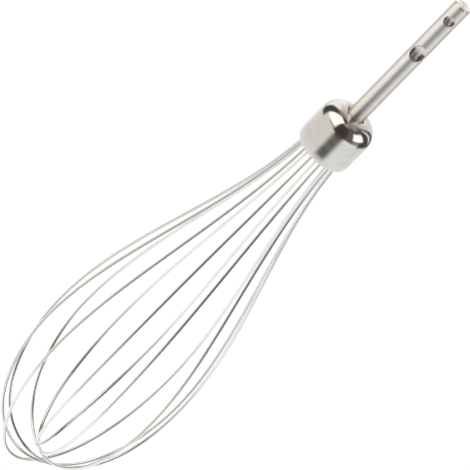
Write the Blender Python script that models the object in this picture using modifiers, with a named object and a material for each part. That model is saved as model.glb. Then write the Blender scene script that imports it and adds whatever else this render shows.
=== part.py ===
"""Balloon whisk for a mixer: six wire loops held in a drawn steel cup on a round drive shaft.

Metres, +Z up along the whisk's axis. The origin is the centre of the drive shaft's end
face and the whisk hangs below it. The shaft's round and oblong pockets open towards -Y.
"""

import math

import bmesh
import bpy
from mathutils import Matrix, Vector

# Clearance that separate pieces keep to each other
GAP = 0.0003

# Drive shaft: a round bar with a round and an oblong pocket and a groove for its ring
SHAFT_RADIUS = 0.0040
SHAFT_BOTTOM = -0.0901
SHAFT_CHAMFER = 0.0006
PIN_HOLE_RADIUS = 0.00235
PIN_HOLE_Z = -0.0083
SLOT_WIDTH = 0.0060
SLOT_LENGTH = 0.0079
SLOT_Z = -0.0286
POCKET_DEPTH = 0.0024
POCKET_SLOPE = 0.38
POCKET_CORNER = 0.0008

# Ferrule: a cup of thin sheet, with a round shoulder, a turned-in crown and a turned-in foot
FERRULE_TOP = -0.0694
FERRULE_BOTTOM = -0.0929
FERRULE_RADIUS = 0.0129
SHEET = 0.0006
SHOULDER_RADIUS = 0.0077
CROWN_LIP_RADIUS = 0.0009
FOOT_RADIUS = 0.0021
FOOT_TURN = math.radians(102)

# Hub: the plug inside the ferrule that the wires are set in
HUB_TOP = -0.0778
HUB_BOTTOM = -0.0875
NECK_TOP = -0.0738
NECK_RADIUS = 0.0068
HUB_CHAMFER = 0.0012

# Cross pin that turns the hub with the shaft
CROSS_PIN_RADIUS = 0.0012
CROSS_PIN_LENGTH = 0.0124
CROSS_PIN_Z = -0.0752
PIN_CHAMFER = 0.0003

# Washer and O-ring under the crown, retaining ring under the hub
WASHER_RADIUS = 0.0072
WASHER_THICKNESS = 0.0010
ORING_SECTION = 0.00075
RETAINING_RING_RADIUS = 0.0062
RETAINING_RING_THICKNESS = 0.0010
GROOVE_DEPTH = 0.0008
RING_OPENING = 0.0030

# Seal that closes the ferrule's mouth around the wires
SEAL_TOP = -0.0892
SEAL_BOTTOM = -0.0917
SEAL_FLOOR = -0.0904
SEAL_BEVEL = 0.0011

# Wire cage: the legs leave the ferrule on slanted straight ends, swell to a belly and meet
# at the tip; the handles shape the two curves of a leg above and below its belly
WIRE_RADIUS = 0.0007
WIRE_END_Z = -0.0800
EXIT_Z = -0.0944
EXIT_RADIUS = 0.0093
EXIT_ANGLE = math.radians(3.4)
EXIT_HANDLE = 0.0452
BELLY_Z = -0.2284
BELLY_HANDLE_UP = 0.0428
BELLY_HANDLE_DOWN = 0.59
TIP_HANDLE = 0.57
UPPER_POINTS = 15
LOWER_POINTS = 14

# One row for each loop, from the outermost at the tip to the innermost: its lowest point,
# then the belly radius of its two legs and the angle that each belly sways off the loop's
# plane, in degrees. The loops are bent by hand, so no two are quite alike.
LOOPS = (
    ((0.0000, 0.0000, -0.2908), (0.0350, -2.0), (0.0344, -1.0)),
    ((0.0006, 0.0001, -0.2878), (0.0362, -1.0), (0.0339, -2.0)),
    ((-0.0011, 0.0001, -0.2854), (0.0358, -4.0), (0.0351, 24.0)),
    ((0.0026, -0.0002, -0.2817), (0.0348, -2.5), (0.0343, 5.0)),
    ((0.0004, 0.0000, -0.2796), (0.0333, -2.0), (0.0337, -2.5)),
    ((0.0020, -0.0008, -0.2775), (0.0348, -3.5), (0.0347, 3.0)),
)
FIRST_LOOP_TURN = math.radians(45)
LOOP_STEP = math.radians(-30)

# Facets round turned pieces and holes
SEGMENTS = 40
PIN_HOLE_SEGMENTS = 28
CORNER_SEGMENTS = 4
CROSS_PIN_SEGMENTS = 16
HOLE_SEGMENTS = 12
ARC_STEP = math.radians(15)
SHARP_ANGLE = math.radians(35)

X_AXIS = Vector((1, 0, 0))
Y_AXIS = Vector((0, 1, 0))


def clear_scene():
    for obj in list(bpy.data.objects):
        bpy.data.objects.remove(obj, do_unlink=True)


def new_collection(name):
    collection = bpy.data.collections.new(name)
    bpy.context.scene.collection.children.link(collection)
    return collection


def material(name, colour, metallic, roughness):
    mat = bpy.data.materials.new(name)
    mat.use_nodes = True
    shader = mat.node_tree.nodes["Principled BSDF"]
    shader.inputs["Base Color"].default_value = (*colour, 1.0)
    shader.inputs["Metallic"].default_value = metallic
    shader.inputs["Roughness"].default_value = roughness
    return mat


# Outlines in the (radius, height) plane

def arc(centre, radius, start, end, step=ARC_STEP):
    """Points on an arc of an outline, both ends included."""
    steps = max(2, round(abs(end - start) / step))
    angles = [start + (end - start) * i / steps for i in range(steps + 1)]
    return [(centre[0] + radius * math.cos(a), centre[1] + radius * math.sin(a)) for a in angles]


def leg_radius(z):
    """Distance of a leg's straight end from the axis at height z."""
    return EXIT_RADIUS + (EXIT_Z - z) * math.tan(EXIT_ANGLE)


# Objects

def add_object(name, data, collection, mat=None):
    obj = bpy.data.objects.new(name, data)
    collection.objects.link(obj)
    if mat is not None:
        data.materials.append(mat)
    return obj


def adopt(obj, name, collection):
    """Name a new primitive and move it into a collection."""
    obj.name = name
    for old in list(obj.users_collection):
        old.objects.unlink(obj)
    collection.objects.link(obj)
    return obj


def rectangle(inner, outer, bottom, top):
    """A closed outline of a flat ring, down its outer side and up its inner side."""
    return [(inner, top), (outer, top), (outer, bottom), (inner, bottom)]


def turned(name, outline, collection, mat=None, closed=False, segments=SEGMENTS):
    """A piece turned about Z from an outline that runs down its outer side."""
    edges = [(i, i + 1) for i in range(len(outline) - 1)]
    if closed:
        edges.append((len(outline) - 1, 0))
    mesh = bpy.data.meshes.new(name)
    mesh.from_pydata([(r, 0.0, z) for r, z in outline], edges, [])
    obj = add_object(name, mesh, collection, mat)
    screw = obj.modifiers.new("Turn", "SCREW")
    screw.axis = "Z"
    screw.steps = segments
    screw.render_steps = segments
    screw.use_merge_vertices = True
    screw.merge_threshold = 0.00001
    return obj


def cylinder_cutter(name, radius, length, matrix, collection, segments=HOLE_SEGMENTS):
    """A round cutter along its own Z, placed by a matrix."""
    bpy.ops.mesh.primitive_cylinder_add(vertices=segments, radius=radius, depth=length)
    bpy.context.active_object.matrix_world = matrix
    return adopt(bpy.context.active_object, name, collection)


def box_cutter(name, size, centre, collection):
    bpy.ops.mesh.primitive_cube_add(size=1.0, location=centre)
    bpy.context.active_object.scale = size
    bpy.ops.object.transform_apply(location=False, rotation=False, scale=True)
    return adopt(bpy.context.active_object, name, collection)


def cut(obj, cutter):
    boolean = obj.modifiers.new("Cut " + cutter.name, "BOOLEAN")
    boolean.operation = "DIFFERENCE"
    boolean.solver = "EXACT"
    boolean.object = cutter
    cutter.hide_render = True
    cutter.display_type = "WIRE"


def along(direction, centre):
    """The matrix that lays a piece's own Z along a direction, at a centre."""
    turn = Vector((0, 0, 1)).rotation_difference(direction)
    return Matrix.Translation(centre) @ turn.to_matrix().to_4x4()


def shade_parts(collection):
    """Apply each mesh piece's modifiers, then shade its round faces smooth."""
    bpy.context.view_layer.update()
    graph = bpy.context.evaluated_depsgraph_get()
    finished = {}
    for obj in collection.objects:
        if obj.type == "MESH":
            finished[obj] = bpy.data.meshes.new_from_object(obj.evaluated_get(graph))
    for obj, mesh in finished.items():
        obj.modifiers.clear()
        obj.data = mesh
        mesh.shade_smooth()
        mesh.set_sharp_from_angle(angle=SHARP_ANGLE)


def add_poly(curve, points, cyclic=False):
    spline = curve.splines.new("POLY")
    spline.points.add(len(points) - 1)
    for target, point in zip(spline.points, points):
        target.co = (*point, 1.0)
    spline.use_cyclic_u = cyclic


def curve_to_mesh(obj, name, collection):
    """Turn a curve object into a closed mesh object at the same place."""
    bpy.context.view_layer.update()
    evaluated = obj.evaluated_get(bpy.context.evaluated_depsgraph_get())
    mesh = bpy.data.meshes.new_from_object(evaluated)
    shape = bmesh.new()
    shape.from_mesh(mesh)
    bmesh.ops.remove_doubles(shape, verts=shape.verts, dist=0.00001)
    shape.to_mesh(mesh)
    shape.free()
    solid = add_object(name, mesh, collection)
    solid.matrix_world = obj.matrix_world.copy()
    bpy.data.objects.remove(obj, do_unlink=True)
    return solid


# Drive shaft and what is fastened to it

def groove_span():
    """Heights of the retaining ring's groove, top and bottom."""
    return HUB_BOTTOM, HUB_BOTTOM - RETAINING_RING_THICKNESS - 2 * GAP


def build_shaft(parts, cutters, mat):
    groove_top, groove_bottom = groove_span()
    groove_radius = SHAFT_RADIUS - GROOVE_DEPTH
    outline = [
        (0.0, 0.0),
        (SHAFT_RADIUS - SHAFT_CHAMFER, 0.0),
        (SHAFT_RADIUS, -SHAFT_CHAMFER),
        (SHAFT_RADIUS, groove_top),
        (groove_radius, groove_top),
        (groove_radius, groove_bottom),
        (SHAFT_RADIUS, groove_bottom),
        (SHAFT_RADIUS, SHAFT_BOTTOM + SHAFT_CHAMFER),
        (SHAFT_RADIUS - SHAFT_CHAMFER, SHAFT_BOTTOM),
        (0.0, SHAFT_BOTTOM),
    ]
    shaft = turned("drive_shaft", outline, parts, mat)
    across = 4 * SHAFT_RADIUS
    middle = POCKET_DEPTH - SHAFT_RADIUS - across / 2
    pin_hole = cylinder_cutter(
        "pin_hole_cutter", PIN_HOLE_RADIUS, across,
        along(Y_AXIS, (0, middle, PIN_HOLE_Z)), cutters, PIN_HOLE_SEGMENTS)
    slot = build_slot_cutter(across, middle, cutters)
    cross_hole = cylinder_cutter(
        "cross_pin_hole_cutter", CROSS_PIN_RADIUS + GAP, across,
        along(X_AXIS, (0, 0, CROSS_PIN_Z)), cutters, CROSS_PIN_SEGMENTS)
    slope_floor(pin_hole, PIN_HOLE_Z)
    slope_floor(slot, SLOT_Z)
    round_off(pin_hole)
    round_off(slot)
    cut(shaft, pin_hole)
    cut(shaft, slot)
    cut(shaft, cross_hole)


def slope_floor(cutter, z):
    """Slope a cutter's ends about a height, so that a pocket is deepest at its lower end."""
    place = cutter.matrix_world
    back = place.inverted()
    for vertex in cutter.data.vertices:
        spot = place @ vertex.co
        spot.y -= POCKET_SLOPE * (spot.z - z)
        vertex.co = back @ spot


def round_off(cutter):
    """Round a cutter's two end edges, so that a pocket has a fillet round its floor."""
    corner = cutter.modifiers.new("Corner", "BEVEL")
    corner.width = POCKET_CORNER
    corner.segments = CORNER_SEGMENTS
    corner.limit_method = "ANGLE"
    corner.angle_limit = SHARP_ANGLE


def build_slot_cutter(length, middle, cutters):
    """An upright oblong bar with round ends, lying along Y about a middle."""
    end_radius = SLOT_WIDTH / 2
    half_straight = (SLOT_LENGTH - SLOT_WIDTH) / 2
    outline = arc((0, half_straight), end_radius, 0, math.pi)
    outline += arc((0, -half_straight), end_radius, math.pi, 2 * math.pi)
    curve = bpy.data.curves.new("slot_cutter", "CURVE")
    curve.dimensions = "2D"
    curve.fill_mode = "BOTH"
    curve.extrude = length / 2
    add_poly(curve, [(x, y, 0) for x, y in outline], cyclic=True)
    flat = add_object("slot_outline", curve, cutters)
    centre = Matrix.Translation((0, middle, SLOT_Z))
    flat.matrix_world = centre @ Matrix.Rotation(math.pi / 2, 4, "X")
    return curve_to_mesh(flat, "slot_cutter", cutters)


def build_cross_pin(parts, mat):
    pin = turned("cross_pin", [
        (0.0, CROSS_PIN_LENGTH / 2),
        (CROSS_PIN_RADIUS - PIN_CHAMFER, CROSS_PIN_LENGTH / 2),
        (CROSS_PIN_RADIUS, CROSS_PIN_LENGTH / 2 - PIN_CHAMFER),
        (CROSS_PIN_RADIUS, PIN_CHAMFER - CROSS_PIN_LENGTH / 2),
        (CROSS_PIN_RADIUS - PIN_CHAMFER, -CROSS_PIN_LENGTH / 2),
        (0.0, -CROSS_PIN_LENGTH / 2),
    ], parts, mat, segments=CROSS_PIN_SEGMENTS)
    pin.matrix_world = along(X_AXIS, (0, 0, CROSS_PIN_Z))


def build_washer(parts, mat):
    bottom = NECK_TOP + GAP
    top = bottom + WASHER_THICKNESS
    bore = SHAFT_RADIUS + GAP
    turned("crown_washer", rectangle(bore, WASHER_RADIUS, bottom, top), parts, mat, closed=True)


def build_oring(parts, mat):
    centre_z = NECK_TOP + GAP + WASHER_THICKNESS + GAP + ORING_SECTION
    centre_radius = SHAFT_RADIUS + GAP + ORING_SECTION
    outline = arc((centre_radius, centre_z), ORING_SECTION, math.pi, -math.pi, math.radians(36))
    turned("shaft_oring", outline[:-1], parts, mat, closed=True)


def build_retaining_ring(parts, cutters, mat):
    groove_top, groove_bottom = groove_span()
    inner = SHAFT_RADIUS - GROOVE_DEPTH + GAP
    outline = rectangle(inner, RETAINING_RING_RADIUS, groove_bottom + GAP, groove_top - GAP)
    ring = turned("retaining_ring", outline, parts, mat, closed=True)
    opening = box_cutter(
        "ring_opening_cutter",
        (2 * RETAINING_RING_RADIUS, RING_OPENING, 4 * RETAINING_RING_THICKNESS),
        (RETAINING_RING_RADIUS, 0, (groove_top + groove_bottom) / 2), cutters)
    cut(ring, opening)


# Ferrule, hub and seal

def build_ferrule(parts, mat):
    crown_radius = FERRULE_RADIUS - SHOULDER_RADIUS
    lip_centre = (crown_radius, FERRULE_TOP - CROWN_LIP_RADIUS)
    shoulder_centre = (crown_radius, FERRULE_TOP - SHOULDER_RADIUS)
    foot_centre = (FERRULE_RADIUS - FOOT_RADIUS, FERRULE_BOTTOM + FOOT_RADIUS)
    outline = arc(lip_centre, CROWN_LIP_RADIUS, math.pi, math.pi / 2, math.radians(30))
    outline += arc(shoulder_centre, SHOULDER_RADIUS, math.pi / 2, 0)[1:]
    outline += arc(foot_centre, FOOT_RADIUS, 0, -FOOT_TURN, math.radians(26))
    ferrule = turned("ferrule", outline, parts, mat)
    sheet = ferrule.modifiers.new("Sheet", "SOLIDIFY")
    sheet.thickness = SHEET
    sheet.offset = -1


def inner_radius():
    """Radius of what fits inside the ferrule."""
    return FERRULE_RADIUS - SHEET - GAP


def build_wire_holes(cutters):
    """Twelve slanted round cutters, one along each leg's straight end."""
    shape = bmesh.new()
    top = WIRE_END_Z + GAP
    bottom = EXIT_Z - 2 * WIRE_RADIUS
    length = (top - bottom) / math.cos(EXIT_ANGLE)
    middle_z = (top + bottom) / 2
    for turn in leg_turns():
        slant = Matrix.Rotation(turn, 4, "Z") @ Matrix.Translation((leg_radius(middle_z), 0, middle_z))
        slant = slant @ Matrix.Rotation(-EXIT_ANGLE, 4, "Y")
        bmesh.ops.create_cone(
            shape, cap_ends=True, segments=HOLE_SEGMENTS,
            radius1=WIRE_RADIUS + GAP, radius2=WIRE_RADIUS + GAP, depth=length, matrix=slant)
    mesh = bpy.data.meshes.new("wire_holes_cutter")
    shape.to_mesh(mesh)
    shape.free()
    return add_object("wire_holes_cutter", mesh, cutters)


def build_hub(parts, cutters, wire_holes, mat):
    bore = SHAFT_RADIUS + GAP
    outline = [
        (bore, NECK_TOP),
        (NECK_RADIUS, NECK_TOP),
        (NECK_RADIUS, HUB_TOP),
        (inner_radius() - HUB_CHAMFER, HUB_TOP),
        (inner_radius(), HUB_TOP - HUB_CHAMFER),
        (inner_radius(), HUB_BOTTOM),
        (bore, HUB_BOTTOM),
    ]
    hub = turned("wire_hub", outline, parts, mat, closed=True)
    seat_depth = NECK_TOP - (CROSS_PIN_Z - CROSS_PIN_RADIUS - GAP)
    seat = box_cutter(
        "cross_pin_seat_cutter",
        (4 * NECK_RADIUS, 2 * (CROSS_PIN_RADIUS + GAP), 2 * seat_depth), (0, 0, NECK_TOP), cutters)
    cut(hub, seat)
    cut(hub, wire_holes)


def build_seal(parts, wire_holes, mat):
    pocket = SHAFT_RADIUS + GAP
    outline = [
        (0.0, SEAL_FLOOR),
        (pocket, SEAL_FLOOR),
        (pocket, SEAL_TOP),
        (inner_radius(), SEAL_TOP),
        (inner_radius(), SEAL_BOTTOM + SEAL_BEVEL),
        (inner_radius() - SEAL_BEVEL, SEAL_BOTTOM),
        (0.0, SEAL_BOTTOM),
    ]
    seal = turned("mouth_seal", outline, parts, mat)
    cut(seal, wire_holes)


# Wire cage

def loop_turn(index):
    """Direction of a loop's second leg about the axis."""
    return FIRST_LOOP_TURN + index * LOOP_STEP


def leg_turns():
    """Directions of all the legs: the loops' second legs, then their first ones."""
    turns = [loop_turn(i) for i in range(len(LOOPS))]
    return turns + [turn + math.pi for turn in turns]


def bezier(corners, t):
    """A point of a cubic curve in the (radius, height) plane."""
    s = 1 - t
    weights = (s ** 3, 3 * s * s * t, 3 * s * t * t, t ** 3)
    return [sum(w * corner[k] for w, corner in zip(weights, corners)) for k in (0, 1)]


def smooth(t):
    return t * t * (3 - 2 * t)


def fractions(count):
    """Even steps from just above 0 up to 1."""
    return [(i + 1) / count for i in range(count)]


def leg_points(turn, belly_radius, sway, tip):
    """A leg from its end in the hub to the loop's lowest point."""
    start = (EXIT_RADIUS, EXIT_Z)
    exit_handle = (
        EXIT_RADIUS + EXIT_HANDLE * math.sin(EXIT_ANGLE),
        EXIT_Z - EXIT_HANDLE * math.cos(EXIT_ANGLE))
    belly = (belly_radius, BELLY_Z)
    above_belly = (belly_radius, BELLY_Z + BELLY_HANDLE_UP)
    below_belly = (belly_radius, BELLY_Z + BELLY_HANDLE_DOWN * (tip.z - BELLY_Z))
    beside_tip = (TIP_HANDLE * belly_radius, tip.z)
    upper = (start, exit_handle, above_belly, belly)
    lower = (belly, below_belly, beside_tip, (0.0, tip.z))

    points = [polar(leg_radius(WIRE_END_Z), turn, WIRE_END_Z), polar(EXIT_RADIUS, turn, EXIT_Z)]
    for t in fractions(UPPER_POINTS):
        radius, z = bezier(upper, t)
        points.append(polar(radius, turn + sway * smooth(t), z))
    for t in fractions(LOWER_POINTS):
        radius, z = bezier(lower, t)
        shift = Vector((tip.x, tip.y, 0)) * smooth(t)
        points.append(polar(radius, turn + sway * (1 - smooth(t)), z) + shift)
    return points


def polar(radius, turn, z):
    return Vector((radius * math.cos(turn), radius * math.sin(turn), z))


def loop_path(index):
    """A whole loop from one end in the hub to the other."""
    lowest, first_belly, second_belly = LOOPS[index]
    tip = Vector(lowest)
    legs = []
    for turn, (radius, sway) in (
            (loop_turn(index) + math.pi, first_belly), (loop_turn(index), second_belly)):
        legs.append(leg_points(turn, radius, math.radians(sway), tip))
    return legs[0] + legs[1][-2::-1]


def build_loop(index, parts, mat):
    curve = bpy.data.curves.new("whisk_loop", "CURVE")
    curve.dimensions = "3D"
    curve.bevel_depth = WIRE_RADIUS
    curve.bevel_resolution = 2
    curve.use_fill_caps = True
    add_poly(curve, loop_path(index))
    add_object(f"whisk_loop_{index + 1}", curve, parts, mat)


def main():
    clear_scene()
    parts = new_collection("balloon_whisk")
    cutters = new_collection("cutters")
    shaft_steel = material("shaft_steel", (0.62, 0.60, 0.57), 1.0, 0.28)
    ferrule_steel = material("ferrule_steel", (0.68, 0.67, 0.64), 1.0, 0.14)
    wire_steel = material("wire_steel", (0.64, 0.63, 0.60), 1.0, 0.2)
    hub_plastic = material("hub_plastic", (0.78, 0.77, 0.72), 0.0, 0.5)
    seal_resin = material("seal_resin", (0.55, 0.55, 0.52), 0.0, 0.4)
    oring_rubber = material("oring_rubber", (0.03, 0.03, 0.03), 0.0, 0.7)
    fastener_steel = material("fastener_steel", (0.55, 0.55, 0.55), 1.0, 0.35)

    build_shaft(parts, cutters, shaft_steel)
    build_cross_pin(parts, fastener_steel)
    build_washer(parts, fastener_steel)
    build_oring(parts, oring_rubber)
    build_retaining_ring(parts, cutters, fastener_steel)
    build_ferrule(parts, ferrule_steel)
    wire_holes = build_wire_holes(cutters)
    build_hub(parts, cutters, wire_holes, hub_plastic)
    build_seal(parts, wire_holes, seal_resin)
    for index in range(len(LOOPS)):
        build_loop(index, parts, wire_steel)
    shade_parts(parts)


main()
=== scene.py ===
"""Looks of the balloon whisk: smooth wire loops, a polished cup and a ground drive shaft.

Metres, +Z up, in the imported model's own frame: the origin is the centre of the drive
shaft's end face and the whisk hangs below it. Six wire loops, the cup, the shaft and the
seal get fine meshes in place of their CAD solids, and the small fittings shut inside the
cup keep their CAD shape under a better material.
"""

import math

import bmesh
import bpy
from mathutils import Matrix, Vector


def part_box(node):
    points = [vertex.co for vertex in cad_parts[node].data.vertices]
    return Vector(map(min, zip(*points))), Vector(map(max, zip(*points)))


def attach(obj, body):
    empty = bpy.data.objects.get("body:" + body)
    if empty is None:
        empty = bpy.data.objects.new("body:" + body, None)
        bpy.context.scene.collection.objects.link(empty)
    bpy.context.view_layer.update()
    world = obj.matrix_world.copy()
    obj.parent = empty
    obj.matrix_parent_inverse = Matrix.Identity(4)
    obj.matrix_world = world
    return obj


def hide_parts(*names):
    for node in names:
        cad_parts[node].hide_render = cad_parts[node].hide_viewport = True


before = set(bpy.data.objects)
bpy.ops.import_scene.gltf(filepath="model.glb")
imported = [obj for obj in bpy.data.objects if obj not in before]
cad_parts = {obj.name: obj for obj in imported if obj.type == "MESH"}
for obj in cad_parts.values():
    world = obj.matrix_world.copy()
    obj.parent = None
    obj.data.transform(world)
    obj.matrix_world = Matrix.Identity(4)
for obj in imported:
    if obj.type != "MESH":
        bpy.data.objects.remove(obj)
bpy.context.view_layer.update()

BODY = "root"

# Sizes read from the frame
SHAFT_LOW, SHAFT_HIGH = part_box("drive_shaft")
FERRULE_LOW, FERRULE_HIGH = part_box("ferrule")
SEAL_LOW, SEAL_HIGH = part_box("mouth_seal")
SHAFT_RADIUS = SHAFT_HIGH.x
FERRULE_RADIUS = FERRULE_HIGH.x
FERRULE_TOP = FERRULE_HIGH.z
FERRULE_BOTTOM = FERRULE_LOW.z

# Shaft: the edge breaks, the groove of the retaining ring, the two pockets and the cross hole
SHAFT_CHAMFER = 0.0006
EDGE_BREAK = 0.00018
GROOVE_DEPTH = 0.0008
GROOVE_MARGIN = 0.0003
PIN_HOLE_RADIUS = 0.00235
PIN_HOLE_Z = -0.0083
SLOT_HALF_WIDTH = 0.0030
SLOT_HALF_LENGTH = 0.00395
SLOT_Z = -0.0286
CROSS_PIN_HOLE_RADIUS = 0.0015
CROSS_PIN_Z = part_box("cross_pin")[0].lerp(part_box("cross_pin")[1], 0.5).z
POCKET_DEPTH = 0.0024
POCKET_SLOPE = 0.38
POCKET_CORNER = 0.0008

# Shaft's mesh: a grid of columns and rows. Each hole replaces a patch of it, given as half
# the patch's width in columns and half its height.
SHAFT_COLUMNS = 96
ROW_HEIGHT = 0.0004
END_FACE_RINGS = (0.12, 0.35, 0.6, 0.85)
PIN_HOLE_PATCH = (18, 0.0040)
SLOT_PATCH = (20, 0.0060)
CROSS_PIN_PATCH = (12, 0.0030)
PATCH_RINGS = 9
PATCH_CROWDING = 1.6
EDGE_BREAK_RINGS = 3
THROUGH_HOLE_STEPS = 12
CORNER_STEPS = 8
POCKET_FLOOR_RINGS = 6
POCKET_FLOOR_REACH = 0.96
LEAST_WALL_STEP = 0.00002

# Ferrule: sheet thickness, shoulder, turned-in crown and foot, and the slight waves of the
# drawn wall, given as the lean of its face in degrees at a depth below the shoulder
SHEET = 0.0006
SHOULDER_RADIUS = 0.0077
CROWN_LIP_RADIUS = 0.0009
FOOT_RADIUS = 0.0021
FOOT_TURN = math.radians(102)
WAIST_DEPTH = 0.0064
WAIST_HALF_HEIGHT = 0.0022
WAIST_LEAN = math.radians(1.3)
TUCK_DEPTH = 0.0100
TUCK_LEAN = math.radians(7)
FERRULE_COLUMNS = 160
CROWN_LIP_STEPS = 8
SHOULDER_STEPS = 40
WALL_STEPS = 48
FOOT_STEPS = 20
SHEET_EDGE_STEPS = 6

# Wire cage, as in the CAD model
WIRE_RADIUS = 0.0007
WIRE_END_Z = -0.0800
EXIT_Z = -0.0944
EXIT_RADIUS = 0.0093
EXIT_ANGLE = math.radians(3.4)
EXIT_HANDLE = 0.0452
BELLY_Z = -0.2284
BELLY_HANDLE_UP = 0.0428
BELLY_HANDLE_DOWN = 0.59
TIP_HANDLE = 0.57
LEG_POINTS = 72
WIRE_SIDES = 16

# Each loop's lowest point, then the belly radius and the sway in degrees of its two legs
LOOPS = (
    ((0.0000, 0.0000, -0.2908), (0.0350, -2.0), (0.0344, -1.0)),
    ((0.0006, 0.0001, -0.2878), (0.0362, -1.0), (0.0339, -2.0)),
    ((-0.0011, 0.0001, -0.2854), (0.0358, -4.0), (0.0351, 24.0)),
    ((0.0026, -0.0002, -0.2817), (0.0348, -2.5), (0.0343, 5.0)),
    ((0.0004, 0.0000, -0.2796), (0.0333, -2.0), (0.0337, -2.5)),
    ((0.0020, -0.0008, -0.2775), (0.0348, -3.5), (0.0347, 3.0)),
)
FIRST_LOOP_TURN = math.radians(45)
LOOP_STEP = math.radians(-30)

# Seal: poured resin that climbs a little at the wires and at the wall
SEAL_GAP = 0.0004
SEAL_EDGE = 0.0003
SEAL_WIRE_GAP = 0.00004
MENISCUS_HEIGHT = 0.00045
MENISCUS_REACH = 0.0011
WIRE_MENISCUS_HEIGHT = 0.8 * MENISCUS_HEIGHT
WIRE_MENISCUS_REACH = 0.5 * MENISCUS_REACH
RIPPLE_HEIGHT = 0.00012
RIPPLE_LENGTH = 0.002
RIPPLE_PHASE = 2.1
RIPPLE_SECTORS = 3
SEAL_RINGS = 40
SEAL_COLUMNS = 144
WIRE_HOLE_SIDES = 24
WIRE_HOLE_LENGTH = 0.008
WELD = 0.000015

# The main view
CAMERA_AZIMUTH = math.radians(-7.49)
CAMERA_ELEVATION = math.radians(24.77)
CAMERA_ROLL = math.radians(44.34)
CAMERA_LENS = 1500.0
SENSOR = 36.0
FRAME_WIDTH = 0.1961
TARGET_SIDE = -0.00126
TARGET_Z = -0.1477
CLIP_START = 0.1
CLIP_END = 40.0
VIEW_FRONT = Vector((math.sin(CAMERA_AZIMUTH), -math.cos(CAMERA_AZIMUTH), 0))
VIEW_RIGHT = Vector((math.cos(CAMERA_AZIMUTH), math.sin(CAMERA_AZIMUTH), 0))

SHARP_ANGLE = math.radians(40)


# Mesh helpers

def new_mesh(shape, name):
    """A mesh made of a bmesh, which is used up."""
    mesh = bpy.data.meshes.new(name)
    shape.to_mesh(mesh)
    shape.free()
    return mesh


def new_object(name, data):
    made = bpy.data.objects.new(name, data)
    bpy.context.scene.collection.objects.link(made)
    return made


def shade(mesh):
    mesh.shade_smooth()
    mesh.set_sharp_from_angle(angle=SHARP_ANGLE)


def finish_mesh(shape, name, material, node):
    """Make a piece of a closed bmesh, let it ride, and let it stand for its CAD node."""
    bmesh.ops.recalc_face_normals(shape, faces=shape.faces)
    mesh = new_mesh(shape, name)
    shade(mesh)
    mesh.materials.append(material)
    piece = new_object(name, mesh)
    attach(piece, BODY)
    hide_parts(node)
    return piece


def arc(centre, radius, start, end, count):
    """Points on an arc of an outline in the (radius, height) plane, both ends included."""
    angles = [start + (end - start) * i / count for i in range(count + 1)]
    return [(centre[0] + radius * math.cos(a), centre[1] + radius * math.sin(a)) for a in angles]


def polar(radius, turn, z):
    """A point at a distance and an angle round the axis."""
    return Vector((radius * math.cos(turn), radius * math.sin(turn), z))


def bridge(shape, first, second):
    """Quads between two closed rings of as many vertices."""
    count = len(first)
    for i in range(count):
        j = (i + 1) % count
        shape.faces.new((first[i], first[j], second[j], second[i]))


def bridge_all(shape, rings):
    """Quads between each ring and the next."""
    for first, second in zip(rings, rings[1:]):
        bridge(shape, first, second)


def turned_ring(shape, radius, z, count):
    """A ring of vertices round the axis."""
    return [shape.verts.new(polar(radius, 2 * math.pi * i / count, z)) for i in range(count)]


def fan(shape, centre, ring):
    """Triangles from a vertex to a closed ring."""
    for i, vertex in enumerate(ring):
        shape.faces.new((centre, vertex, ring[(i + 1) % len(ring)]))


# Wire cage

def loop_turn(index):
    """The direction of a loop's second leg round the axis."""
    return FIRST_LOOP_TURN + index * LOOP_STEP


def leg_turns():
    """The directions of all twelve legs."""
    turns = [loop_turn(i) for i in range(len(LOOPS))]
    return turns + [turn + math.pi for turn in turns]


def leg_radius(z):
    """Distance of a leg's straight end from the axis at height z."""
    return EXIT_RADIUS + (EXIT_Z - z) * math.tan(EXIT_ANGLE)


def bezier(corners, t):
    """The radius and height a share t along a cubic curve with four corners."""
    s = 1 - t
    weights = (s ** 3, 3 * s * s * t, 3 * s * t * t, t ** 3)
    return [sum(w * corner[k] for w, corner in zip(weights, corners)) for k in (0, 1)]


def smooth(t):
    """A share from 0 to 1 that starts and ends slowly."""
    return t * t * (3 - 2 * t)


def leg_points(turn, belly_radius, sway, tip):
    """A leg from its end in the hub to the loop's lowest point."""
    exit_handle = (
        EXIT_RADIUS + EXIT_HANDLE * math.sin(EXIT_ANGLE),
        EXIT_Z - EXIT_HANDLE * math.cos(EXIT_ANGLE))
    belly = (belly_radius, BELLY_Z)
    above_belly = (belly_radius, BELLY_Z + BELLY_HANDLE_UP)
    below_belly = (belly_radius, BELLY_Z + BELLY_HANDLE_DOWN * (tip.z - BELLY_Z))
    beside_tip = (TIP_HANDLE * belly_radius, tip.z)
    upper = ((EXIT_RADIUS, EXIT_Z), exit_handle, above_belly, belly)
    lower = (belly, below_belly, beside_tip, (0.0, tip.z))

    points = [
        polar(leg_radius(z), turn, z)
        for z in (WIRE_END_Z, (WIRE_END_Z + EXIT_Z) / 2, EXIT_Z)]
    for i in range(1, LEG_POINTS + 1):
        t = i / LEG_POINTS
        radius, z = bezier(upper, t)
        points.append(polar(radius, turn + sway * smooth(t), z))
    for i in range(1, LEG_POINTS + 1):
        t = i / LEG_POINTS
        radius, z = bezier(lower, t)
        shift = Vector((tip.x, tip.y, 0)) * smooth(t)
        points.append(polar(radius, turn + sway * (1 - smooth(t)), z) + shift)
    return points


def loop_path(index):
    """A loop's centre line from the end of one leg to the end of the other."""
    lowest, first_belly, second_belly = LOOPS[index]
    tip = Vector(lowest)
    legs = []
    for turn, (radius, sway) in (
            (loop_turn(index) + math.pi, first_belly), (loop_turn(index), second_belly)):
        legs.append(leg_points(turn, radius, math.radians(sway), tip))
    return legs[0] + legs[1][-2::-1]


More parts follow.
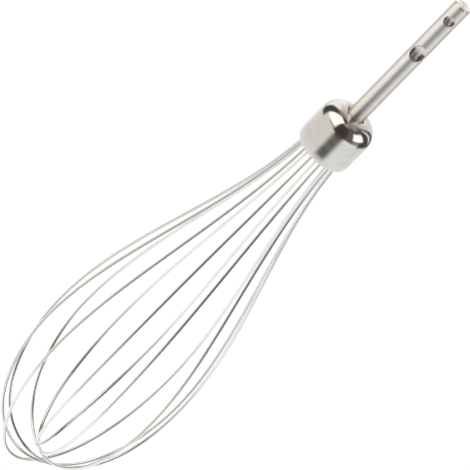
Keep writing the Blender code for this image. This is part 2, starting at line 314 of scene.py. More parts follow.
def build_wire(index, material):
    """A round wire swept along a loop's path. The attribute straight_wire holds where each
    point would be on the wire before it was bent, for the grain of the drawn steel."""
    path = loop_path(index)
    shape = bmesh.new()
    straight = shape.verts.layers.float_vector.new("straight_wire")
    across = None
    travelled = 0.0
    rings = []
    for i, point in enumerate(path):
        before = path[max(i - 1, 0)]
        after = path[min(i + 1, len(path) - 1)]
        direction = (after - before).normalized()
        if across is None:
            across = direction.orthogonal().normalized()
        across = (across - direction * across.dot(direction)).normalized()
        other = direction.cross(across)
        travelled += (point - before).length
        ring = []
        for side in range(WIRE_SIDES):
            angle = 2 * math.pi * side / WIRE_SIDES
            offset = across * math.cos(angle) + other * math.sin(angle)
            vertex = shape.verts.new(point + offset * WIRE_RADIUS)
            vertex[straight] = Vector((
                WIRE_RADIUS * math.cos(angle), WIRE_RADIUS * math.sin(angle), travelled))
            ring.append(vertex)
        rings.append(ring)
    bridge_all(shape, rings)
    for ring, point in ((rings[0], path[0]), (rings[-1], path[-1])):
        centre = shape.verts.new(point)
        centre[straight] = ring[0][straight]
        fan(shape, centre, ring)
    node = f"whisk_loop_{index + 1}"
    return finish_mesh(shape, f"wire_loop_{index + 1}", material, node)


# Ferrule

def wall_lean(depth):
    """How far the wall's face leans down at a depth below the shoulder."""
    waist = max(0.0, 1 - ((depth - WAIST_DEPTH) / WAIST_HALF_HEIGHT) ** 2)
    tuck = max(0.0, depth - TUCK_DEPTH) / (wall_height() - TUCK_DEPTH)
    return WAIST_LEAN * waist ** 2 + TUCK_LEAN * smooth(min(tuck, 1.0))


def wall_height():
    """Height of the wall between the shoulder and the foot."""
    shoulder_z = FERRULE_TOP - SHOULDER_RADIUS
    foot_z = FERRULE_BOTTOM + FOOT_RADIUS * (1 - math.sin(TUCK_LEAN))
    return shoulder_z - foot_z


def ferrule_profile():
    """The outer face from the lip at the crown down to the turned-in foot."""
    crown_radius = FERRULE_RADIUS - SHOULDER_RADIUS
    lip_centre = (crown_radius, FERRULE_TOP - CROWN_LIP_RADIUS)
    shoulder_centre = (crown_radius, FERRULE_TOP - SHOULDER_RADIUS)
    outline = arc(lip_centre, CROWN_LIP_RADIUS, math.pi, math.pi / 2, CROWN_LIP_STEPS)
    outline += arc(shoulder_centre, SHOULDER_RADIUS, math.pi / 2, 0, SHOULDER_STEPS)[1:]
    step = wall_height() / WALL_STEPS
    radius, z = outline[-1]
    for i in range(WALL_STEPS):
        radius -= math.tan(wall_lean((i + 0.5) * step)) * step
        z -= step
        outline.append((radius, z))
    foot_centre = (
        radius - FOOT_RADIUS * math.cos(TUCK_LEAN), z + FOOT_RADIUS * math.sin(TUCK_LEAN))
    outline += arc(foot_centre, FOOT_RADIUS, -TUCK_LEAN, -FOOT_TURN, FOOT_STEPS)[1:]
    return outline


def thicken(outline, thickness):
    """A closed outline of sheet, with rounded edges, inside an open outer outline."""
    inner = []
    for i, (radius, z) in enumerate(outline):
        before = outline[max(i - 1, 0)]
        after = outline[min(i + 1, len(outline) - 1)]
        along = Vector((after[0] - before[0], after[1] - before[1])).normalized()
        inner.append((radius + along.y * thickness, z - along.x * thickness))
    foot_edge = sheet_edge(outline[-1], inner[-1])
    lip_edge = sheet_edge(inner[0], outline[0])
    return outline + foot_edge + inner[::-1] + lip_edge


def sheet_edge(start, end):
    """The sheet's rounded edge from one face to the other, without its two ends."""
    middle = Vector(((start[0] + end[0]) / 2, (start[1] + end[1]) / 2))
    spoke = Vector(start) - middle
    turns = [-math.pi * k / SHEET_EDGE_STEPS for k in range(1, SHEET_EDGE_STEPS)]
    return [tuple(middle + Matrix.Rotation(turn, 2) @ spoke) for turn in turns]


def turn_closed(outline, columns):
    """A closed outline turned about the axis."""
    shape = bmesh.new()
    rings = [turned_ring(shape, radius, z, columns) for radius, z in outline]
    bridge_all(shape, rings + rings[:1])
    return shape


def build_ferrule(material):
    shape = turn_closed(thicken(ferrule_profile(), SHEET), FERRULE_COLUMNS)
    return finish_mesh(shape, "polished_ferrule", material, "ferrule")


# Drive shaft

def round_reach(radius):
    """A function that says how far a round hole reaches from its centre in a direction."""
    return lambda angle: radius


def slot_reach(angle):
    """How far the oblong slot reaches from its centre in a direction."""
    run, rise = abs(math.cos(angle)), abs(math.sin(angle))
    half_straight = SLOT_HALF_LENGTH - SLOT_HALF_WIDTH
    if rise * SLOT_HALF_WIDTH <= half_straight * run:
        return SLOT_HALF_WIDTH / run
    return half_straight * rise + math.sqrt(SLOT_HALF_WIDTH ** 2 - (half_straight * run) ** 2)


class Shaft:
    """A round bar as a grid of columns and rows, with rings of vertices round each hole."""

    def __init__(self, outline):
        self.shape = bmesh.new()
        self.columns = SHAFT_COLUMNS
        self.rows = []
        self.heights = []
        for radius, z in outline:
            self.rows.append([
                self.shape.verts.new(self.place(radius, 2 * math.pi * i / self.columns, z))
                for i in range(self.columns)])
            self.heights.append(z)
        self.open_cells = set()

    @staticmethod
    def place(radius, turn, z):
        """A point at an angle from the -Y direction."""
        return Vector((radius * math.sin(turn), -radius * math.cos(turn), z))

    def row_near(self, z):
        """The row closest to a height."""
        return min(range(len(self.heights)), key=lambda k: abs(self.heights[k] - z))

    def cut_hole(self, column, patch, z, reach):
        """A hole across the bar, from one side at a column to the opposite side."""
        front = self.cut_side(column, patch, z, reach, False)
        back = self.cut_side(column + self.columns // 2, patch, z, reach, True)
        rings = [front]
        for k in range(1, THROUGH_HOLE_STEPS):
            share = k / THROUGH_HOLE_STEPS
            rings.append([
                self.shape.verts.new(a.co.lerp(b.co, share)) for a, b in zip(front, back)])
        bridge_all(self.shape, rings + [back])

    def cut_pocket(self, patch, z, reach, radius, half_straight):
        """A blind hole from the front with a fillet round its floor, which slopes inwards as
        it goes down. Its outline lies at a radius from an upright line of a half length."""
        mouth = self.cut_side(0, patch, z, reach, False)
        inward = -self.place(1.0, 0, 0)
        insets = []
        for k in range(CORNER_STEPS + 1):
            turn = math.radians(90 * k / CORNER_STEPS)
            insets.append((
                POCKET_CORNER * (1 - math.cos(turn)), POCKET_CORNER * (1 - math.sin(turn))))
        start = POCKET_CORNER / radius
        for k in range(1, POCKET_FLOOR_RINGS + 1):
            share = start + (POCKET_FLOOR_REACH - start) * k / POCKET_FLOOR_RINGS
            insets.append((radius * share, 0.0))
        rings = [mouth]
        for k, (inset, rise) in enumerate(insets):
            ring = []
            for vertex in mouth:
                up = max(-half_straight, min(half_straight, vertex.co.z - z))
                spine = Vector((0, 0, z + up))
                spoke = vertex.co - spine
                flat = spoke - inward * spoke.dot(inward)
                spot = spine + flat * (1 - inset / radius)
                depth = POCKET_DEPTH - POCKET_SLOPE * (spot.z - z) - rise
                skin = SHAFT_RADIUS + vertex.co.dot(inward)
                depth = max(depth, skin + LEAST_WALL_STEP * (k + 1))
                ring.append(self.shape.verts.new(spot + inward * (depth - SHAFT_RADIUS)))
            rings.append(ring)
        bridge_all(self.shape, rings)
        centre = Vector((0, 0, z)) + inward * (POCKET_DEPTH - SHAFT_RADIUS)
        fan(self.shape, self.shape.verts.new(centre), rings[-1])

    def cut_side(self, middle, patch, z, reach, mirrored):
        """Open the grid round one mouth of a hole. Returns the ring where its wall starts."""
        half_columns, half_height = patch
        top, bottom = self.row_near(z + half_height), self.row_near(z - half_height)
        left, right = middle - half_columns, middle + half_columns
        border = [(left, row) for row in range(top, bottom)]
        border += [(column, bottom) for column in range(left, right)]
        border += [(right, row) for row in range(bottom, top, -1)]
        border += [(column, top) for column in range(right, left, -1)]
        if mirrored:
            border = [(2 * middle - column, row) for column, row in border]
        for column in range(left, right):
            for row in range(top, bottom):
                self.open_cells.add((column % self.columns, row))
        sign = -1 if mirrored else 1
        centre_turn = 2 * math.pi * middle / self.columns
        outer, spots = [], []
        for column, row in border:
            outer.append(self.rows[row][column % self.columns])
            arc_length = sign * (column - middle) * 2 * math.pi / self.columns * SHAFT_RADIUS
            spots.append(Vector((arc_length, self.heights[row] - z)))

        def surface(across, up, depth=0.0):
            """The point that lies across and up from the hole's centre, in its plan."""
            turn = math.asin(across / SHAFT_RADIUS)
            flat = self.place(SHAFT_RADIUS, centre_turn + sign * turn, z + up)
            inward = self.place(1.0, centre_turn, 0)
            return flat - inward * depth

        rim = []
        for spot in spots:
            angle = math.atan2(spot.y, spot.x)
            rim.append(Vector((math.cos(angle), math.sin(angle))) * reach(angle))
        rings = [outer]
        for k in range(1, PATCH_RINGS + 1):
            share = 1 - (1 - k / PATCH_RINGS) ** PATCH_CROWDING
            ring = []
            for spot, edge in zip(spots, rim):
                mouth = edge * (1 + EDGE_BREAK / edge.length)
                start_across = SHAFT_RADIUS * math.sin(spot.x / SHAFT_RADIUS)
                planned = Vector((start_across, spot.y)).lerp(mouth, share)
                ring.append(self.shape.verts.new(surface(planned.x, planned.y)))
            rings.append(ring)
        for k in range(1, EDGE_BREAK_RINGS + 1):
            turn = math.radians(90 / EDGE_BREAK_RINGS * k)
            ring = []
            for edge in rim:
                spread = EDGE_BREAK * (1 - math.sin(turn))
                planned = edge * (1 + spread / edge.length)
                ring.append(self.shape.verts.new(
                    surface(planned.x, planned.y, EDGE_BREAK * (1 - math.cos(turn)))))
            rings.append(ring)
        bridge_all(self.shape, rings)
        return rings[-1]

    def close(self):
        """Fill the grid's cells that no hole has opened, and both end faces."""
        for row in range(len(self.rows) - 1):
            for column in range(self.columns):
                if (column, row) in self.open_cells:
                    continue
                after = (column + 1) % self.columns
                self.shape.faces.new((
                    self.rows[row][column], self.rows[row + 1][column],
                    self.rows[row + 1][after], self.rows[row][after]))
        for row, z in ((self.rows[0], self.heights[0]), (self.rows[-1], self.heights[-1])):
            fan(self.shape, self.shape.verts.new((0, 0, z)), row)
        return self.shape


def shaft_outline():
    """The bar's outline from the middle of its end face down to the other end."""
    bottom = SHAFT_LOW.z
    groove_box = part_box("retaining_ring")
    groove_top = groove_box[1].z + GROOVE_MARGIN
    groove_bottom = groove_box[0].z - GROOVE_MARGIN
    groove_radius = SHAFT_RADIUS - GROOVE_DEPTH
    face_radius = SHAFT_RADIUS - SHAFT_CHAMFER
    outline = [(face_radius * share, 0.0) for share in END_FACE_RINGS]
    outline += arc(
        (face_radius - EDGE_BREAK, -EDGE_BREAK), EDGE_BREAK, math.pi / 2, math.pi / 4,
        EDGE_BREAK_RINGS)
    outline += [(SHAFT_RADIUS - EDGE_BREAK / 3, -SHAFT_CHAMFER + EDGE_BREAK / 3)]
    rows = round((groove_top + SHAFT_CHAMFER) / -ROW_HEIGHT)
    start = -SHAFT_CHAMFER - EDGE_BREAK / 3
    for i in range(rows + 1):
        outline.append((SHAFT_RADIUS, start + (groove_top - start) * i / rows))
    outline += [
        (groove_radius, groove_top),
        (groove_radius, groove_bottom),
        (SHAFT_RADIUS, groove_bottom),
        (SHAFT_RADIUS, bottom + SHAFT_CHAMFER),
        (SHAFT_RADIUS - SHAFT_CHAMFER, bottom),
    ]
    return outline


def build_shaft(material):
    bar = Shaft(shaft_outline())
    bar.cut_pocket(
        PIN_HOLE_PATCH, PIN_HOLE_Z, round_reach(PIN_HOLE_RADIUS), PIN_HOLE_RADIUS, 0.0)
    bar.cut_pocket(
        SLOT_PATCH, SLOT_Z, slot_reach, SLOT_HALF_WIDTH, SLOT_HALF_LENGTH - SLOT_HALF_WIDTH)
    quarter = SHAFT_COLUMNS // 4
    bar.cut_hole(quarter, CROSS_PIN_PATCH, CROSS_PIN_Z, round_reach(CROSS_PIN_HOLE_RADIUS))
    return finish_mesh(bar.close(), "ground_shaft", material, "drive_shaft")


# Seal

def seal_underside(x, y):
    """Height of the poured resin's open face, which climbs at the wires and at the wall."""
    radius = math.hypot(x, y)
    level = SEAL_LOW.z + MENISCUS_HEIGHT
    ripple = math.sin(RIPPLE_PHASE * radius / RIPPLE_LENGTH)
    level += RIPPLE_HEIGHT * ripple * math.cos(RIPPLE_SECTORS * math.atan2(y, x))
    level -= MENISCUS_HEIGHT * math.exp(-((seal_radius() - radius) / MENISCUS_REACH) ** 2)
    for turn in leg_turns():
        wire = polar(leg_radius(SEAL_LOW.z), turn, 0)
        distance = max(math.hypot(x - wire.x, y - wire.y) - WIRE_RADIUS, 0.0)
        level -= WIRE_MENISCUS_HEIGHT * math.exp(-(distance / WIRE_MENISCUS_REACH) ** 2)
    return max(level, SEAL_LOW.z)


def seal_radius():
    """The outer radius, a small gap inside the CAD solid's."""
    return SEAL_HIGH.x - SEAL_GAP


def build_seal(material):
    """The open face, the outer side, the top and the pocket under the shaft's end."""
    shape = bmesh.new()
    outer = seal_radius()
    rings = []
    for k in range(1, SEAL_RINGS + 1):
        radius = outer * k / SEAL_RINGS
        ring = []
        for i in range(SEAL_COLUMNS):
            spot = polar(radius, 2 * math.pi * i / SEAL_COLUMNS, 0)
            ring.append(shape.verts.new((spot.x, spot.y, seal_underside(spot.x, spot.y))))
        rings.append(ring)
    fan(shape, shape.verts.new((0, 0, seal_underside(0, 0))), rings[0])
    pocket_radius = SHAFT_RADIUS + SEAL_GAP
    pocket_floor = SHAFT_LOW.z - SEAL_GAP
    top = SEAL_HIGH.z
    upper_side = (
        (outer, top - SEAL_EDGE), (outer - SEAL_EDGE, top),
        (pocket_radius, top), (pocket_radius, pocket_floor))
    for radius, z in upper_side:
        rings.append(turned_ring(shape, radius, z, SEAL_COLUMNS))
    bridge_all(shape, rings)
    fan(shape, shape.verts.new((0, 0, pocket_floor)), rings[-1])
    seal = finish_mesh(shape, "resin_seal", material, "mouth_seal")
    cut_wire_holes(seal)
    return seal


def cut_wire_holes(seal):
    """Twelve slanted holes, a hair wider than the wires that fill them. Tiny faces that the
    cut leaves are welded away."""
    shape = bmesh.new()
    middle_z = (SEAL_LOW.z + SEAL_HIGH.z) / 2
    for turn in leg_turns():
        outwards = Matrix.Translation((leg_radius(middle_z), 0, middle_z))
        slant = Matrix.Rotation(turn, 4, "Z") @ outwards
        slant = slant @ Matrix.Rotation(-EXIT_ANGLE, 4, "Y")
        bmesh.ops.create_cone(
            shape, cap_ends=True, segments=WIRE_HOLE_SIDES, radius1=WIRE_RADIUS + SEAL_WIRE_GAP,
            radius2=WIRE_RADIUS + SEAL_WIRE_GAP, depth=WIRE_HOLE_LENGTH, matrix=slant)
    cutter = new_object("wire_holes", new_mesh(shape, "wire_holes"))
    boolean = seal.modifiers.new("Wire holes", "BOOLEAN")
    boolean.operation = "DIFFERENCE"
    boolean.solver = "EXACT"
    boolean.object = cutter
    bpy.context.view_layer.update()
    evaluated = seal.evaluated_get(bpy.context.evaluated_depsgraph_get())
    cut = bpy.data.meshes.new_from_object(evaluated)
    shape = bmesh.new()
    shape.from_mesh(cut)
    bmesh.ops.remove_doubles(shape, verts=shape.verts, dist=WELD)
    bmesh.ops.dissolve_degenerate(shape, edges=shape.edges, dist=WELD)
    bmesh.ops.triangulate(shape, faces=shape.faces)
    shape.to_mesh(cut)
    shape.free()
    seal.modifiers.clear()
    seal.data = cut
    shade(cut)
    bpy.data.objects.remove(cutter, do_unlink=True)


# Finishes. A pair of tints is the range of a slow change of tone, and a pair of roughnesses
# is the range over the tool marks and smudges. The polish of the ferrule's shoulder ends, and
# the finish of the shaft's pockets starts, between two offsets from an edge.
FERRULE_TINTS = ((0.62, 0.605, 0.58), (0.68, 0.665, 0.64))
SHOULDER_ROUGHNESS = (0.05, 0.09)
WALL_ROUGHNESS = (0.19, 0.25)
WALL_EDGE = (-0.0004, 0.0006)
SHAFT_TINTS = ((0.90, 0.885, 0.855), (0.99, 0.975, 0.95))
SHAFT_ROUGHNESS = (0.50, 0.56)
POCKET_ROUGHNESS = (0.34, 0.50)
POCKET_EDGE = (-0.0003, -0.0001)
WIRE_TINTS = ((0.74, 0.75, 0.755), (0.83, 0.84, 0.845))
WIRE_ROUGHNESS = (0.13, 0.20)
PLAIN_TINTS = ((0.42, 0.42, 0.41), (0.56, 0.56, 0.55))
PLAIN_ROUGHNESS = (0.30, 0.45)
RESIN_TINTS = ((0.50, 0.50, 0.46), (0.60, 0.60, 0.56))
RESIN_ROUGHNESS = (0.22, 0.38)
HUB_TINTS = ((0.74, 0.73, 0.68), (0.80, 0.79, 0.75))
HUB_ROUGHNESS = (0.42, 0.58)
RUBBER_TINTS = ((0.02, 0.02, 0.02), (0.045, 0.045, 0.045))
RUBBER_ROUGHNESS = (0.55, 0.75)

# What all bare steel shares: the turn that lays the blur along the axis, the part of the
# noise's range that is used, and the stray scratches
ALONG_AXIS = 0.25
TONE_RANGE = (0.36, 0.64)
POLISH_RANGE = (0.35, 0.65)
COARSE_MARKS = 0.21
SCRATCH_STRETCH = (1.0, 1.0, 0.08)
SCRATCH_SCALE = 1900.0
SCRATCH_RANGE = (0.70, 0.76)
STEEL_RELIEF = 0.00002

# Painted shade in the pockets, for the dark reflections and shadow in their lower corners: its
# tint, how far aside of the axis and how far above a pocket's middle it starts and ends, and a
# height between the two pockets
POCKET_PAINTED_SHADE = (0.17, 0.15, 0.13)
PAINTED_SHADE_ASIDE = (0.0010, 0.0019)
PAINTED_SHADE_ABOVE = (-0.0002, 0.0012)
BETWEEN_POCKETS_Z = -0.018


# Node helpers

def add(tree, kind, inputs=None, **settings):
    """A shader node with its settings, and with sockets or values on its inputs."""
    node = tree.nodes.new("ShaderNode" + kind)
    for name, value in settings.items():
        setattr(node, name, value)
    for key, value in (inputs or {}).items():
        if isinstance(value, bpy.types.NodeSocket):
            tree.links.new(value, node.inputs[key])
        else:
            node.inputs[key].default_value = value
    return node


def maths(tree, operation, first, second=0.0):
    """The outcome of a Math node."""
    return add(tree, "Math", {0: first, 1: second}, operation=operation).outputs[0]


def spread(tree, value, low, high, to_low, to_high, kind="LINEAR"):
    """A value mapped from one range to another."""
    node = add(tree, "MapRange", {
        "Value": value, "From Min": low, "From Max": high,
        "To Min": to_low, "To Max": to_high}, interpolation_type=kind)
    return node.outputs["Result"]


def noise(tree, place, scale, detail=3.0, roughness=0.5):
    """Soft noise from 0 to 1."""
    node = add(tree, "TexNoise", {
        "Vector": place, "Scale": scale, "Detail": detail, "Roughness": roughness})
    return node.outputs["Fac"]


def stretched(tree, place, scale):
    """A place scaled by an amount along each axis."""
    return add(tree, "Mapping", {"Vector": place, "Scale": scale}).outputs["Vector"]


def mix_colours(tree, share, first, second):
    """The first colour where share is 0 and the second where it is 1."""
    node = add(tree, "Mix", {"Factor": share}, data_type="RGBA")
    for socket, colour in ((node.inputs[6], first), (node.inputs[7], second)):
        if isinstance(colour, bpy.types.NodeSocket):
            tree.links.new(colour, socket)
        else:
            socket.default_value = (*colour, 1.0)
    return node.outputs[2]


def new_material(name):
    """A material with its node tree and its shader."""
    material = bpy.data.materials.new(name)
    material.use_nodes = True
    return material, material.node_tree, material.node_tree.nodes["Principled BSDF"]


def object_place(tree):
    return add(tree, "TexCoord").outputs["Object"]


def turned_place(tree, stretch):
    """Places on a turned piece, drawn out along the circles of the tool's marks."""
    place = add(tree, "SeparateXYZ", {"Vector": object_place(tree)})
    x, y, z = place.outputs
    radius = maths(tree, "SQRT", maths(
        tree, "ADD", maths(tree, "MULTIPLY", x, x), maths(tree, "MULTIPLY", y, y)))
    drawn_x = maths(tree, "MULTIPLY", x, stretch)
    drawn_y = maths(tree, "MULTIPLY", y, stretch)
    drawn = add(tree, "CombineXYZ", {"X": drawn_x, "Y": drawn_y, "Z": z}).outputs[0]
    outward = add(tree, "CombineXYZ", {"X": radius, "Y": 0.0, "Z": 0.0}).outputs[0]
    return add(tree, "VectorMath", {0: drawn, 1: outward}, operation="ADD").outputs["Vector"]


def steel(
        name, grain, grain_scale, tints, roughness, bump,
        smudge_scale=90.0, anisotropy=0.0, rough_zone=None, zone_roughness=None):
    """Bare steel: fine tool marks, a slow change of tone, smudges and a few stray scratches.

    grain makes the place that the marks follow; roughness is its (low, high) range, and
    zone_roughness the range where rough_zone is 1.
    """
    material, tree, shader = new_material(name)
    place = grain(tree)
    marks = noise(tree, place, grain_scale, detail=4.0, roughness=0.65)
    coarse_marks = noise(tree, place, grain_scale * COARSE_MARKS, detail=2.0)
    smudges = noise(tree, object_place(tree), smudge_scale, detail=3.0, roughness=0.55)
    tone = maths(
        tree, "ADD", maths(tree, "MULTIPLY", smudges, 0.55), maths(tree, "MULTIPLY", marks, 0.45))
    tone = spread(tree, tone, *TONE_RANGE, 0.0, 1.0)
    colour = mix_colours(tree, tone, *tints)
    tree.links.new(colour, shader.inputs["Base Color"])
    shader.inputs["Metallic"].default_value = 1.0
    if anisotropy:
        shader.inputs["Anisotropic"].default_value = anisotropy
        shader.inputs["Anisotropic Rotation"].default_value = ALONG_AXIS
        around = add(tree, "Tangent", direction_type="RADIAL", axis="Z").outputs[0]
        tree.links.new(around, shader.inputs["Tangent"])

    polish = maths(
        tree, "ADD",
        maths(tree, "MULTIPLY", coarse_marks, 0.5), maths(tree, "MULTIPLY", smudges, 0.5))
    dull = spread(tree, polish, *POLISH_RANGE, *roughness)
    if rough_zone:
        zone = rough_zone(tree)
        duller = spread(tree, polish, *POLISH_RANGE, *zone_roughness)
        dull = add(tree, "Mix", {"Factor": zone, "A": dull, "B": duller}).outputs["Result"]
    tree.links.new(dull, shader.inputs["Roughness"])

    drawn_out = stretched(tree, object_place(tree), SCRATCH_STRETCH)
    scratches = noise(tree, drawn_out, SCRATCH_SCALE, detail=1.0)
    scratches = spread(tree, scratches, *SCRATCH_RANGE, 0.0, 1.0)
    height = maths(tree, "SUBTRACT", maths(tree, "ADD", marks, coarse_marks), scratches)
    relief = add(tree, "Bump", {"Height": height, "Strength": bump, "Distance": STEEL_RELIEF})
    tree.links.new(relief.outputs["Normal"], shader.inputs["Normal"])
    return material


def ferrule_steel():
    def wall(tree):
        """The upright wall, which is brushed round; the shoulder above it is polished."""
        z = add(tree, "SeparateXYZ", {"Vector": object_place(tree)}).outputs["Z"]
        low, high = (FERRULE_TOP - SHOULDER_RADIUS + offset for offset in WALL_EDGE)
        return spread(tree, z, low, high, 1.0, 0.0, "SMOOTHSTEP")

    return steel(
        "polished_steel", lambda tree: turned_place(tree, stretch=0.10), 2600.0,
        FERRULE_TINTS, SHOULDER_ROUGHNESS, bump=0.06,
        rough_zone=wall, zone_roughness=WALL_ROUGHNESS)


def shaft_steel():
    def pockets(tree):
        """The insides of the pockets, which are left as milled."""
        flat = add(
            tree, "VectorMath", {0: object_place(tree), 1: (1.0, 1.0, 0.0)}, operation="MULTIPLY")
        radius = add(
            tree, "VectorMath", {0: flat.outputs["Vector"]}, operation="LENGTH").outputs["Value"]
        low, high = (SHAFT_RADIUS + offset for offset in POCKET_EDGE)
        return spread(tree, radius, low, high, 1.0, 0.0)

    material = steel(
        "ground_steel", lambda tree: turned_place(tree, stretch=0.05), 4200.0,
        SHAFT_TINTS, SHAFT_ROUGHNESS, bump=0.06,
        anisotropy=0.8, rough_zone=pockets, zone_roughness=POCKET_ROUGHNESS)
    tree = material.node_tree
    tint = tree.nodes["Principled BSDF"].inputs["Base Color"]
    clean = tint.links[0].from_socket
    # The lower side corners of the pockets get painted shade in their base colour.
    painted_shade = pocket_painted_shade(tree, pockets(tree))
    tree.links.new(mix_colours(tree, painted_shade, clean, POCKET_PAINTED_SHADE), tint)
    return material


def pocket_painted_shade(tree, inside):
    """Painted shade on the lower side corners of the pockets, where their walls show dark
    reflections and shadow.
    """
    x, _, z = add(tree, "SeparateXYZ", {"Vector": object_place(tree)}).outputs
    aside = spread(tree, maths(tree, "ABSOLUTE", x), *PAINTED_SHADE_ASIDE, 0.0, 1.0, "SMOOTHSTEP")
    in_slot = maths(tree, "GREATER_THAN", BETWEEN_POCKETS_Z, z)
    middle = maths(
        tree, "ADD", PIN_HOLE_Z, maths(tree, "MULTIPLY", in_slot, SLOT_Z - PIN_HOLE_Z))
    above = maths(tree, "SUBTRACT", z, middle)
    below = spread(tree, above, *PAINTED_SHADE_ABOVE, 1.0, 0.0, "SMOOTHSTEP")
    patchy = spread(tree, noise(tree, object_place(tree), 900.0), 0.35, 0.65, 0.75, 1.0)
    share = maths(tree, "MULTIPLY", maths(tree, "MULTIPLY", aside, below), patchy)
    return maths(tree, "MULTIPLY", share, inside)


def wire_steel():
    def along_wire(tree):
        """Places on the wire before it was bent, drawn out along it."""
        place = add(tree, "Attribute", attribute_name="straight_wire").outputs["Vector"]
        return stretched(tree, place, (1.0, 1.0, 0.02))

    return steel(
        "drawn_wire", along_wire, 3600.0, WIRE_TINTS, WIRE_ROUGHNESS, bump=0.02,
        smudge_scale=60.0)


def fastener_steel():
    return steel(
        "plain_steel", lambda tree: turned_place(tree, stretch=0.2), 3000.0,
        PLAIN_TINTS, PLAIN_ROUGHNESS, bump=0.4)


def moulded(name, tints, roughness, grain_scale, bump, distance):
    """Plastic, resin or rubber: a fine surface, a slow change of tone and faint specks."""
    material, tree, shader = new_material(name)
    place = object_place(tree)
    cloud = noise(tree, place, 160.0, detail=4.0)
    fine = noise(tree, place, grain_scale, detail=5.0, roughness=0.6)
    specks = spread(tree, noise(tree, place, grain_scale * 0.6, detail=0.0), 0.72, 0.78, 0.0, 0.5)
    tone = maths(tree, "ADD", cloud, maths(tree, "MULTIPLY", fine, 0.3))
    tone = spread(tree, tone, 0.45, 0.85, 0.0, 1.0)
    clean = mix_colours(tree, tone, *tints)
    speckled = mix_colours(tree, specks, clean, tuple(0.6 * c for c in tints[0]))
    tree.links.new(speckled, shader.inputs["Base Color"])
    tree.links.new(spread(tree, fine, 0.3, 0.7, *roughness), shader.inputs["Roughness"])
    relief = add(tree, "Bump", {"Height": fine, "Strength": bump, "Distance": distance})
    tree.links.new(relief.outputs["Normal"], shader.inputs["Normal"])
    return material


# Stage

# What the room shows the steel. Each patch has the middle and half the width of its azimuth,
# the same for its elevation, how soft its edges are across and up, and its light. The angles
# are degrees as seen from the whisk. Azimuth 0 is towards the main view and grows to its
# right. Later patches lie on top of earlier ones.
ROOM = {
    "floor": ((0, 180), (-54, 44), (1, 8), (1.10, 1.10, 1.09)),
    "left_table": ((-62, 34), (-8, 24), (16, 12), (0.96, 0.89, 0.81)),
    "right_front_shade": ((45, 20), (33, 40), (7, 10), (0.17, 0.15, 0.14)),
    "left_back_wall": ((-153, 29), (21, 27), (8, 10), (1.25, 1.24, 1.22)),
    "left_gap": ((-111, 17), (19, 37), (7, 10), (0.09, 0.085, 0.075)),
    "left_wedge": ((-46, 15), (9, 7), (5, 4), (0.50, 0.43, 0.34)),
    "left_hood": ((-72, 60), (79, 9), (16, 4), (0.11, 0.105, 0.095)),
    "left_softbox": ((-59, 34), (42, 30), (6, 5), (1.60, 1.55, 1.46)),
    "right_back_wall": ((170, 16), (20, 30), (5, 10), (0.95, 0.97, 0.94)),
    "right_gap": ((121, 31), (17, 35), (6, 9), (0.09, 0.09, 0.085)),
    "back_stand": ((137, 5), (24, 28), (3, 10), (0.85, 0.92, 0.87)),
    "right_valance": ((92, 48), (56, 7), (12, 7), (0.13, 0.12, 0.11)),
    "right_softbox": ((82, 23), (29, 17), (6, 5), (1.60, 1.58, 1.54)),
    "back_tint": ((180, 24), (48, 16), (14, 12), (0.80, 0.66, 0.58)),
    "camera_low": ((7, 22), (-16, 18), (10, 7), (0.11, 0.105, 0.10)),
    "camera_side": ((3, 28), (27, 33), (8, 6), (0.065, 0.06, 0.055)),
}
CEILING = (0.40, 0.34, 0.32)

FLOOR_DROP = 0.45
FLOOR_RADIUS = 12.0
FLOOR_COLUMNS = 96
FLOOR_TINTS = ((0.86, 0.86, 0.85), (0.90, 0.90, 0.89))
FLOOR_ROUGHNESS = 0.8
FLOOR_GLOW = 0.5
FLOOR_GLOW_TINT = (1.0, 1.0, 0.99, 1.0)


def build_room():
    """The world: white to look at, and the studio's lamps and screens in the steel."""
    world = bpy.data.worlds.new("studio")
    bpy.context.scene.world = world
    world.use_nodes = True
    tree = world.node_tree
    tree.nodes.clear()
    direction = add(tree, "TexCoord").outputs["Generated"]
    ahead, aside = (
        add(tree, "VectorMath", {0: direction, 1: axis}, operation="DOT_PRODUCT").outputs["Value"]
        for axis in (VIEW_FRONT, VIEW_RIGHT))
    up = add(tree, "SeparateXYZ", {"Vector": direction}).outputs["Z"]
    azimuth = maths(tree, "DEGREES", maths(tree, "ARCTAN2", aside, ahead))
    elevation = maths(tree, "DEGREES", maths(tree, "ARCSINE", up))
    light = CEILING
    for (middle, half_width), (height, half_height), softness, colour in ROOM.values():
        offset = maths(tree, "SUBTRACT", azimuth, middle)
        wrapped = add(
            tree, "Math", {0: offset, 1: 180.0, 2: -180.0}, operation="WRAP").outputs[0]
        across = patch_edge(tree, maths(tree, "ABSOLUTE", wrapped), half_width, softness[0])
        rise = maths(tree, "ABSOLUTE", maths(tree, "SUBTRACT", elevation, height))
        upwards = patch_edge(tree, rise, half_height, softness[1])
        light = mix_colours(tree, maths(tree, "MULTIPLY", across, upwards), light, colour)
    seen = add(tree, "LightPath").outputs["Is Camera Ray"]
    shown = mix_colours(tree, seen, light, (1.0, 1.0, 1.0))
    background = add(tree, "Background", {"Color": shown, "Strength": 1.0})
    output = add(tree, "OutputWorld")
    tree.links.new(background.outputs[0], output.inputs["Surface"])


def patch_edge(tree, distance, half_size, softness):
    """1 inside a patch and 0 outside it, with a soft edge."""
    return spread(
        tree, distance, half_size - softness, half_size + softness, 1.0, 0.0, "SMOOTHSTEP")


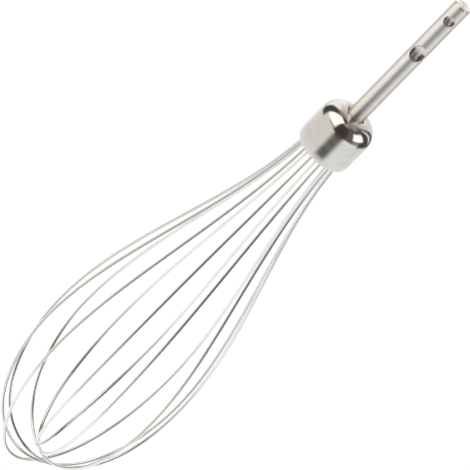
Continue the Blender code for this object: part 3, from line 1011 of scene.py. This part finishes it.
def build_floor():
    """A pale disc, which can't be seen from below."""
    shape = bmesh.new()
    bmesh.ops.create_circle(shape, cap_ends=True, segments=FLOOR_COLUMNS, radius=FLOOR_RADIUS)
    floor = new_object("floor", new_mesh(shape, "floor"))
    floor.location.z = FERRULE_BOTTOM - FLOOR_DROP
    material, tree, shader = new_material("pale_floor")
    grain = noise(tree, object_place(tree), 40.0, detail=3.0)
    tree.links.new(mix_colours(tree, grain, *FLOOR_TINTS), shader.inputs["Base Color"])
    shader.inputs["Roughness"].default_value = FLOOR_ROUGHNESS
    shader.inputs["Emission Color"].default_value = FLOOR_GLOW_TINT
    shader.inputs["Emission Strength"].default_value = FLOOR_GLOW
    below = add(tree, "NewGeometry").outputs["Backfacing"]
    clear = add(tree, "BsdfTransparent").outputs[0]
    sided = add(tree, "MixShader", {0: below, 1: shader.outputs[0], 2: clear})
    tree.links.new(sided.outputs[0], tree.nodes["Material Output"].inputs["Surface"])
    floor.data.materials.append(material)
    floor.visible_glossy = False
    floor.visible_diffuse = False


def build_camera():
    """A long lens at the photograph's viewing angle."""
    data = bpy.data.cameras.new("main_view")
    data.sensor_width = SENSOR
    data.lens = CAMERA_LENS
    distance = CAMERA_LENS * FRAME_WIDTH / SENSOR
    back = Vector((
        math.sin(CAMERA_AZIMUTH) * math.cos(CAMERA_ELEVATION),
        -math.cos(CAMERA_AZIMUTH) * math.cos(CAMERA_ELEVATION),
        math.sin(CAMERA_ELEVATION)))
    target = VIEW_RIGHT * TARGET_SIDE + Vector((0, 0, TARGET_Z))
    camera = new_object("main_view", data)
    camera.location = target + back * distance
    upright = (-back).to_track_quat("-Z", "Y").to_matrix().to_4x4()
    camera.rotation_euler = (upright @ Matrix.Rotation(CAMERA_ROLL, 4, "Z")).to_euler()
    data.clip_start = CLIP_START
    data.clip_end = CLIP_END
    bpy.context.scene.camera = camera


def repaint_fittings():
    """New finishes on the CAD solids that stay, shut inside the ferrule."""
    plain = fastener_steel()
    for node in ("cross_pin", "crown_washer", "retaining_ring"):
        paint(node, plain)
    paint("wire_hub", moulded(
        "hub_plastic", HUB_TINTS, HUB_ROUGHNESS, 1800.0, bump=0.3, distance=0.00003))
    paint("shaft_oring", moulded(
        "oring_rubber", RUBBER_TINTS, RUBBER_ROUGHNESS, 2600.0, bump=0.25, distance=0.00002))


def paint(node, material):
    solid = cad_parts[node]
    solid.data.materials.clear()
    solid.data.materials.append(material)


def main():
    bpy.context.scene.view_settings.view_transform = "Standard"
    build_camera()
    build_room()
    build_floor()
    wire = wire_steel()
    for index in range(len(LOOPS)):
        build_wire(index, wire)
    build_ferrule(ferrule_steel())
    build_shaft(shaft_steel())
    build_seal(moulded(
        "seal_resin", RESIN_TINTS, RESIN_ROUGHNESS, 900.0, bump=0.2, distance=0.00005))
    repaint_fittings()


main()
